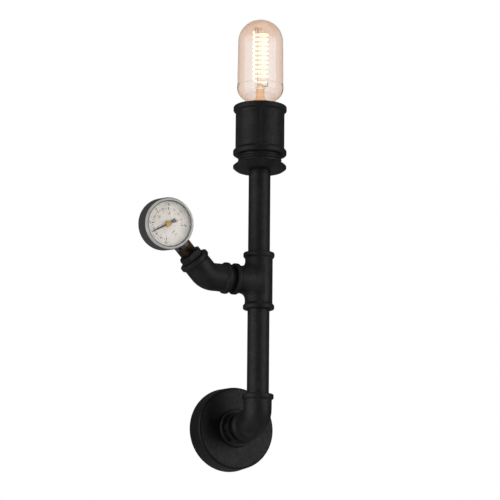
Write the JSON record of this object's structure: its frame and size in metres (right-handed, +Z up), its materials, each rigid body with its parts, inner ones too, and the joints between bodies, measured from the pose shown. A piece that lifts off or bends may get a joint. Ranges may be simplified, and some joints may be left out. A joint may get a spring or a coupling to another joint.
{
  "type": "pipe wall light",
  "caption": "Industrial wall light: round canopy, black pipe and malleable iron fittings, side branch with a pressure gauge, socket cup with a tubular filament bulb.",
  "frame": {"origin": "middle of the two wall screw holes, on the wall plane", "axes": "+Z up, -Y out of the wall towards the room, +X to the right seen from the room"},
  "size_m": [0.1672, 0.0942, 0.4417],
  "materials": {
    "black_iron": "matte black powder coat over malleable iron",
    "black_sheet": "matte black powder coat over pressed steel",
    "zinc": "zinc plated steel",
    "brass": "turned brass",
    "dark_brass": "blackened brass",
    "nickel": "nickel plated brass",
    "porcelain": "glazed porcelain",
    "nylon": "natural polyamide",
    "amber_glass": "amber tinted clear glass",
    "clear_glass": "clear glass",
    "vitrite": "black glass insulator",
    "filament_glow": "glowing filament",
    "gauge_black": "satin black paint",
    "gauge_ring": "light grey translucent plastic rim",
    "gauge_clear": "clear polycarbonate window",
    "dial_white": "white printed dial",
    "pointer_black": "matte black enamel",
    "wire_brown": "brown insulation",
    "wire_blue": "blue insulation",
    "wire_green": "green insulation"
  },
  "bodies": {
    "base": {"canopy": "black_sheet", "wall_bracket": "zinc", "canopy_screws": "black_iron", "earth_screw": "brass", "earth_lug": "nickel", "terminal_block": "nylon", "terminal_sleeves": "brass", "terminal_screws": "zinc", "wall_nipple": "black_iron", "back_locknut": "zinc", "lock_washer": "zinc", "hub_flange": "black_iron", "front_locknut": "black_iron", "base_elbow": "black_iron", "lower_pipe": "black_iron", "tee": "black_iron", "upper_pipe": "black_iron", "branch_nipple": "black_iron", "branch_elbow": "black_iron", "reducing_bushing": "black_iron", "lamp_cup": "black_iron", "holder_plate": "zinc", "holder_stud": "zinc", "stud_nut": "zinc", "holder_body": "porcelain", "screw_shell": "nickel", "shell_contact": "brass", "centre_contact": "brass", "contact_screws": "nickel", "gauge_bushing": "black_iron", "gauge_stem": "dark_brass", "gauge_case": "gauge_black", "gauge_bezel": "gauge_ring", "gauge_window": "gauge_clear", "gauge_dial": "dial_white", "front_plate": "brass", "back_plate": "brass", "movement_pillars": "brass", "movement_screws": "nickel", "bourdon_tube": "brass", "bourdon_tip": "brass", "live_wire": "wire_brown", "neutral_wire": "wire_blue", "earth_wire": "wire_green"},
    "bulb": {"bulb_glass": "amber_glass", "bulb_cap": "brass", "cap_insulator": "vitrite", "cap_contact": "nickel", "glass_stem": "clear_glass", "support_rod": "clear_glass", "filament": "filament_glow", "lead_wires": "nickel"},
    "sector": {"sector_gear": "brass", "sector_pins": "nickel"},
    "pointer": {"gauge_pointer": "pointer_black", "pointer_hub": "brass", "pinion_arbor": "brass"},
    "link": {"tip_link": "brass"}
  },
  "joints": [
    {"name": "bulb_out", "type": "slide", "parent": "base", "child": "bulb", "axis": [0, 0, 1], "range_m": [0, 0.04]},
    {"name": "sector_swing", "type": "hinge", "parent": "base", "child": "sector", "pos_m": [-0.09017, -0.07313, 0.18367], "axis": [0.0302, 0.9905, 0.1345], "range_deg": [-42, 12]},
    {"name": "pointer_turn", "type": "hinge", "parent": "base", "child": "pointer", "pos_m": [-0.10096, -0.0728, 0.18371], "axis": [0.0302, 0.9905, 0.1345], "range_deg": [-60, 210]},
    {"name": "link_swing", "type": "hinge", "parent": "sector", "child": "link", "pos_m": [-0.08517, -0.07328, 0.18365], "axis": [0.0302, 0.9905, 0.1345], "range_deg": [-12, 42]}
  ],
  "couplings": [
    {"joint": "pointer_turn", "follows": "sector_swing", "ratio": -5},
    {"joint": "link_swing", "follows": "sector_swing", "ratio": -1}
  ]
}
